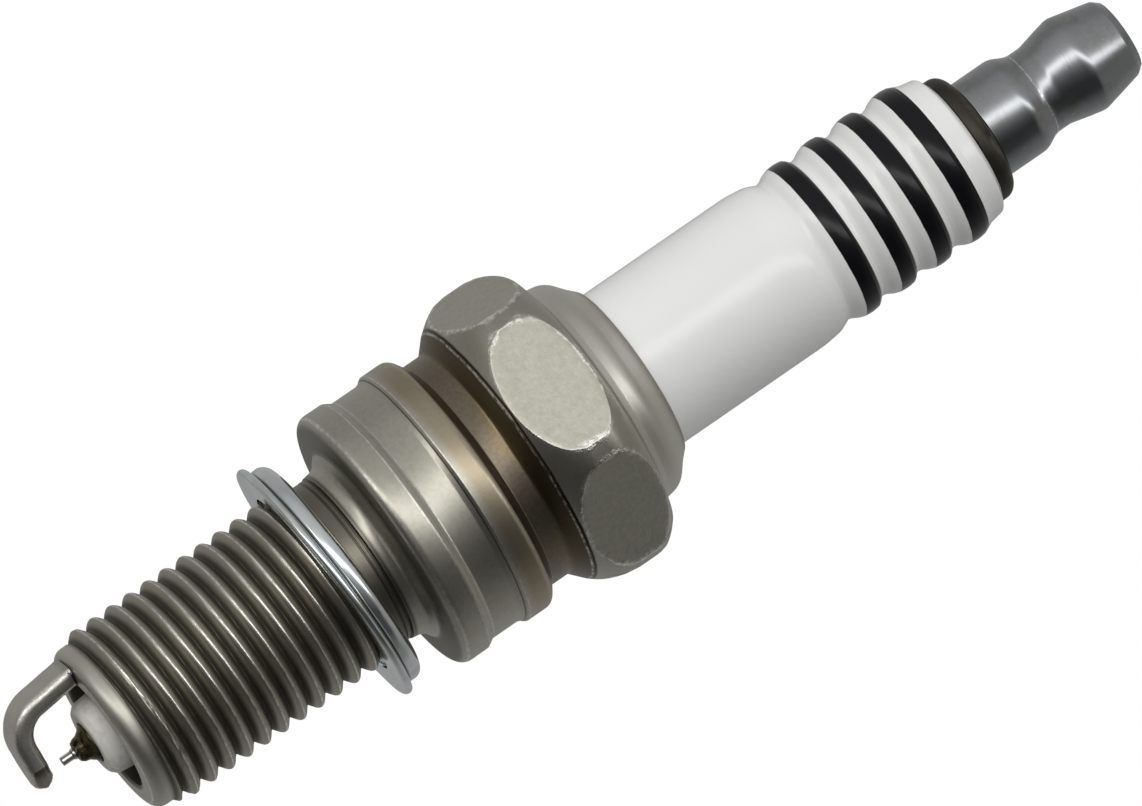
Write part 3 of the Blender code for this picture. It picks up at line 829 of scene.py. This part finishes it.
# painted shade: darker on the end that faces the pad, and a dark ring in the corner under the weld
# bead
shade = tinted((1 - rise(wire.height, -22.12, -22.06)) * 0.7, shade, (0.25, 0.22, 0.18))
shade = tinted(near(wire.height, -21.42, 0.05) * 0.8, shade, (0.10, 0.08, 0.06))
dress(tip, wire.set(shade, 0.13 + 0.08 * drawn, 0.002 * drawn), "plug", "iridium", "firing_tip")

# ---------------------------------------------------------------------------------------------
# The conductor stack inside the insulator: copper glass, resistor and copper glass again, fired
# in one pass while the stud is pressed down on them. None of it shows.
# ---------------------------------------------------------------------------------------------

SEAL = (0.34, 0.20, 0.12), (0.14, 0.08, 0.05)
CARBON = (0.07, 0.07, 0.07), (0.02, 0.02, 0.02)
for node in ("lower_glass_seal", "upper_glass_seal"):
    plain_stock(node, "seal_glass", *SEAL, 0.25, 0.35)
plain_stock("resistor", "resistor_glass", *CARBON, 0.2, 0.5)

# ---------------------------------------------------------------------------------------------
# The terminal stud. Turned steel, dark from the firing. Its collar lies on the insulator, and its
# M4 x 0.7 thread takes the nut.
# ---------------------------------------------------------------------------------------------

STUD_PITCH = 0.7
STUD_ROOT = 1.58
stud_rings = []
for i in range(5):
    middle = 10.6 + 0.6 * i
    stud_rings += [(1.5, middle - 0.2), (1.38, middle), (1.5, middle + 0.2)]
stud_outline = rounded(
    [
        (0, 10.0),
        (1.2, 10.0),
        (1.5, 10.3),
        *stud_rings,
        (1.5, 14.4),
        (1.75, 14.8),
        (1.75, 41.09),
        (4.07, 41.09, 0.1),
        (4.07, 42.25, 0.8),
        (3.1, 42.25),
        (1.58, 42.25),
        (1.58, 42.95),
        (1.95, 43.25),
        (1.95, 49.6),
        (1.58, 50.0),
        (0, 50.0),
    ]
)
stud = on_lathe("collared_stud", refined(stud_outline, 42.9, 50.1, 0.05, 1.5), 120)
for vertex in stud.data.vertices:
    radius = math.hypot(vertex.co.x, vertex.co.y) / MM
    height = vertex.co.z / MM
    if height > 42.85 and radius > STUD_ROOT:
        angle = math.atan2(vertex.co.y, vertex.co.x)
        offset = abs(helix_offset(angle, height, STUD_PITCH, 42.25))
        fill = min(1, max(0, (0.31 - offset) / 0.22))
        radius = min(radius, STUD_ROOT + 0.37 * fill)
        vertex.co.x, vertex.co.y = radius * MM * math.cos(angle), radius * MM * math.sin(angle)
smooth(stud, 30)
dull = Finish("dark_steel", metallic=1.0)
fine = grain(dull.spot, 0.07, 4, 0.6)
cloud = grain(dull.spot, 0.9, 3)
shade = tinted(cloud, (0.045, 0.040, 0.033), (0.10, 0.092, 0.078))
rubbed = near(dull.height, 42.0, 0.3) * rise(cloud, 0.4, 0.7) * rise(dull.radius, 3.0, 3.4)
shade = tinted(rubbed * 0.45, shade, (0.34, 0.32, 0.28))
foot_line = near(dull.radius, 3.18, 0.12) * rise(dull.height, 42.15, 42.23)
shade = tinted(foot_line * rise(fine, 0.35, 0.6) * 0.7, shade, (0.16, 0.08, 0.06))
bright_thread = rise(dull.height, 42.85, 43.05)
shade = tinted(bright_thread * 0.8, shade, tinted(fine, (0.40, 0.41, 0.42), (0.60, 0.61, 0.62)))
rough = 0.42 + 0.12 * fine - bright_thread * 0.18
depth = 0.004 * fine + 0.003 * dull.rings(0.09)
dress(stud, dull.set(shade, rough, depth), "plug", "dark_steel", "terminal_stud")

# ---------------------------------------------------------------------------------------------
# The packing that holds the insulator in the shell: a soft steel washer on the inner ledge, two
# wire rings and pressed talc between them. The lip is crimped down on it, and none of it shows.
# ---------------------------------------------------------------------------------------------

WASHER = (0.50, 0.49, 0.47), (0.34, 0.33, 0.31)
RING = (0.46, 0.45, 0.44), (0.30, 0.29, 0.28)
TALC = (0.82, 0.80, 0.76), (0.68, 0.66, 0.61)
plain_stock("inner_seat_gasket", "soft_steel", *WASHER, 0.2, 0.35, 1.0)
for node in ("lower_packing_ring", "upper_packing_ring"):
    plain_stock(node, "ring_steel", *RING, 0.2, 0.35, 1.0)
plain_stock("talc_filling", "talc", *TALC, 0.15, 0.85, 0.0, 0.02)

# ---------------------------------------------------------------------------------------------
# The seat gasket. Thin steel strip, folded on itself to a ring and zinc-plated bright. It hangs
# loose on the neck, held on by the thread, and lies a little askew.
# ---------------------------------------------------------------------------------------------

GASKET_MIDDLE = -3.165
GASKET_TILT, GASKET_TILT_ANGLE = math.radians(4.8), math.radians(244.2)
gasket_outline = rounded(
    [
        (6.05, -0.835, 0.1),
        (8.0, -0.835, 0.24),
        (8.0, -0.34, 0.23),
        (7.34, -0.33, 0.05),
        (7.30, -0.25, 0.05),
        (7.5, -0.16, 0.2),
        (7.5, 0.835, 0.7),
        (6.6, 0.835, 0.2),
        (6.05, 0.435, 0.2),
    ],
    7,
)
gasket = on_lathe("folded_gasket", gasket_outline, 200)
for vertex in gasket.data.vertices:  # the fold is never quite even
    angle = math.atan2(vertex.co.y, vertex.co.x)
    ring = Vector((math.cos(angle), math.sin(angle), vertex.co.z / MM * 0.4))
    radius = math.hypot(vertex.co.x, vertex.co.y) / MM
    if radius > 6.8:
        sway = 1 + 0.05 * noise.noise(ring * 1.8) / radius + 0.012 * noise.noise(ring * 7) / radius
        vertex.co.x, vertex.co.y = vertex.co.x * sway, vertex.co.y * sway
        vertex.co.z += 0.03 * MM * noise.noise(ring * 2.3 + Vector((5, 5, 5)))
tilt_line = (-math.sin(GASKET_TILT_ANGLE), math.cos(GASKET_TILT_ANGLE), 0)
lie = Matrix.Translation((0, 0, GASKET_MIDDLE * MM)) @ Matrix.Rotation(GASKET_TILT, 4, tilt_line)
gasket.data.transform(lie)
smooth(gasket, 40)
zinc = Finish("zinc_plate", metallic=1.0)
normal = lie.to_3x3() @ Vector((0, 0, 1))
offset_spot = zinc.spot.node(
    "VectorMath", {"operation": "SUBTRACT"}, {0: zinc.spot, 1: (0, 0, GASKET_MIDDLE)}
)
reach = offset_spot.node("VectorMath", {"operation": "LENGTH"}, {0: offset_spot}, "Value")
level = offset_spot.node(
    "VectorMath", {"operation": "DOT_PRODUCT"}, {0: offset_spot, 1: normal}, "Value"
)
from_axis = (reach * reach - level * level) ** 0.5
fine = grain(zinc.spot, 0.08, 4, 0.6)
cloud = grain(zinc.spot, 1.5, 3)
shade = tinted(cloud, (0.72, 0.75, 0.77), (0.86, 0.89, 0.90))
iris = rise(grain(zinc.spot, 2.2, 2), 0.42, 0.62)
shade = tinted(iris * 0.45, shade, (0.50, 0.62, 0.68))
shade = tinted(rise(grain(zinc.spot, 1.1, 3), 0.50, 0.68) * 0.45, shade, (0.62, 0.64, 0.44))
# painted shade in the crease of the fold between disc and bead, tinted green
fold = near(level, -0.24, 0.13) * (1 - rise(from_axis, 7.42, 7.62))
shade = tinted(fold * 0.9, shade, (0.05, 0.075, 0.05))
rough = 0.04 + 0.05 * fine + 0.03 * cloud + fold * 0.2
depth = 0.002 * fine + 0.006 * grain(zinc.spot, 0.5, 2)
dress(gasket, zinc.set(shade, rough, depth), "gasket", "zinc_plate", "seat_gasket")

# ---------------------------------------------------------------------------------------------
# The terminal nut. Bright turned steel, screwed on the stud against its collar. Its waist and
# head are what a plug cap's spring snaps on to.
# ---------------------------------------------------------------------------------------------

nut_outline = rounded(
    [
        (2.35, 42.29),
        (3.10, 42.29, 0.1),
        (3.10, 45.05, 1.3),
        (2.62, 46.0, 1.3),
        (2.62, 47.0, 1.4),
        (2.92, 48.25, 1.4),
        (3.12, 49.2, 1.2),
        (2.52, 51.85, 0.35),
        (2.15, 52.3, 0.16),
        (1.3, 52.3, 0.04),
        (1.2, 52.22, 0.04),
        (0, 52.22),
        (0, 50.9),
        (2.1, 50.3),
        (2.1, 42.54),
    ],
    6,
)
nut = on_lathe("snap_nut", nut_outline, 160)
smooth(nut, 30)
steel = Finish("bright_steel", metallic=1.0)
fine = grain(steel.spot, 0.07, 3, 0.6)
cloud = grain(steel.spot, 1.3, 3)
marks = steel.rings(0.06)
shade = tinted(cloud, (0.32, 0.335, 0.35), (0.41, 0.425, 0.435))
shade = tinted(rise(marks, 0.5, 0.75) * 0.35, shade, (0.30, 0.30, 0.29))
stain = rise(grain(steel.spot, 1.0, 4, 0.65), 0.48, 0.66)
shade = tinted(stain * 0.55, shade, (0.30, 0.285, 0.25))
scuffs = rise(grain(steel.spot, 0.35, 4, 0.7), 0.62, 0.74)
shade = tinted(scuffs * 0.4, shade, (0.72, 0.72, 0.70))
# painted highlight in flecks on the shoulder at the waist
edges = near(steel.height, 46.05, 0.10) * rise(steel.radius, 2.5, 2.6)
shade = tinted(edges * rise(fine, 0.35, 0.6) * 0.7, shade, (0.86, 0.87, 0.87))
rough = 0.12 + 0.08 * marks + 0.04 * fine
depth = 0.0016 * marks + 0.001 * fine + scuffs * 0.003
dress(nut, steel.set(shade, rough, depth), "nut", "bright_steel", "terminal_nut")

# ---------------------------------------------------------------------------------------------
# The studio. A pale floor well below the plug, pale walls with a long soft box over the camera, a
# broad soft light from above and a weak one from below. The camera looks a little up at the plug.
# ---------------------------------------------------------------------------------------------

NEAR = Vector((math.sin(math.radians(13.2)), -math.cos(math.radians(13.2)), 0))
UPHILL = Vector((-math.cos(math.radians(13.2)), -math.sin(math.radians(13.2)), 0))
AXIS = Vector((0, 0, 1))
LOOK_UP = math.radians(9.8)
ROLL = math.radians(34.53)
LENS = 1000.0
VIEW_WIDTH = 0.0652  # metres across the picture at the plug
back = NEAR * math.cos(LOOK_UP) - AXIS * math.sin(LOOK_UP)
along = AXIS * math.cos(LOOK_UP) + NEAR * math.sin(LOOK_UP)
right = along * math.cos(ROLL) - UPHILL * math.sin(ROLL)
top = along * math.sin(ROLL) + UPHILL * math.cos(ROLL)
middle = AXIS * 0.01386 + UPHILL * 0.00041
camera = bpy.data.objects.new("camera", bpy.data.cameras.new("camera"))
bpy.context.scene.collection.objects.link(camera)
camera.data.lens = LENS
stand = middle + back * VIEW_WIDTH * LENS / camera.data.sensor_width
camera.matrix_world = Matrix.Translation(stand) @ Matrix((right, top, back)).transposed().to_4x4()
bpy.context.scene.camera = camera

bpy.ops.mesh.primitive_plane_add(size=3.0, location=(0, 0, -0.42))
floor = bpy.context.object
floor.name = "floor"
floor.visible_glossy = floor.visible_diffuse = floor.visible_shadow = False
pale = bpy.data.materials.new("pale_floor")
pale.use_nodes = True
paint = pale.node_tree.nodes["Principled BSDF"].inputs
paint["Base Color"].default_value = (0.9, 0.9, 0.89, 1)
paint["Roughness"].default_value = 0.7
paint["Emission Color"].default_value = (1, 1, 1, 1)
paint["Emission Strength"].default_value = 0.6
floor.data.materials.append(pale)

world = bpy.data.worlds.new("studio")
bpy.context.scene.world = world
world.use_nodes = True
tree = world.node_tree
tree.nodes.clear()
way = Value(tree.nodes.new("ShaderNodeTexCoord").outputs["Generated"])


def towards(direction):
    """How far a ray points in a direction, from -1 to 1."""
    return way.node("VectorMath", {"operation": "DOT_PRODUCT"}, {0: way, 1: direction}, "Value")


SURROUND = (
    (-180, 0.32), (-142, 0.32), (-105, 0.20), (-73, 0.06), (-38, 0.05), (-19, 0.12), (-6, 0.26),
    (3, 0.55), (9, 1.6), (15, 2.5), (21, 2.3), (27, 1.1), (34, 0.68), (46, 0.56), (64, 0.50),
    (81, 0.44), (99, 0.34), (130, 0.36), (154, 0.40), (180, 0.30),
)  # brightness at heights above the camera: from behind and below, by the long box, to above
BRIGHTEST = 2.5
heading = towards(top).maths("ARCTAN2", towards(back)) / math.tau + 0.5
stops = [(angle / 360 + 0.5, (light / BRIGHTEST,) * 3) for angle, light in SURROUND]
walls = heading.node("ValToRGB", {"stops": stops}, {0: heading})
room = tinted(rise(abs(towards(right)), 0.72, 0.97), walls, (0.11, 0.108, 0.103))
lit = room.node("Background", {}, {"Color": room, "Strength": BRIGHTEST})
plain = room.node("Background", {}, {"Color": (1, 1, 1, 1), "Strength": 1.0})
seen = room.node("LightPath", {}, {}, "Is Camera Ray")
mixed = room.node("MixShader", {}, {0: seen, 1: lit, 2: plain})
surface = tree.nodes.new("ShaderNodeOutputWorld")
tree.links.new(mixed.socket, surface.inputs["Surface"])

fill = bpy.data.objects.new("broad_light", bpy.data.lights.new("broad_light", "SUN"))
bpy.context.scene.collection.objects.link(fill)
fill.data.energy = 0.85
fill.data.angle = math.radians(60)
fill.rotation_mode = "QUATERNION"
fill.rotation_quaternion = (NEAR * 0.75 + UPHILL * 0.65 + AXIS * 0.15).to_track_quat("Z", "Y")
fill.visible_glossy = False
bounce = fill.copy()
bounce.data = fill.data.copy()
bounce.name = bounce.data.name = "floor_bounce"
bpy.context.scene.collection.objects.link(bounce)
bounce.data.energy = 0.35
bounce.rotation_quaternion = (NEAR * 0.5 - UPHILL * 0.8).to_track_quat("Z", "Y")

bpy.context.scene.view_settings.view_transform = "Standard"
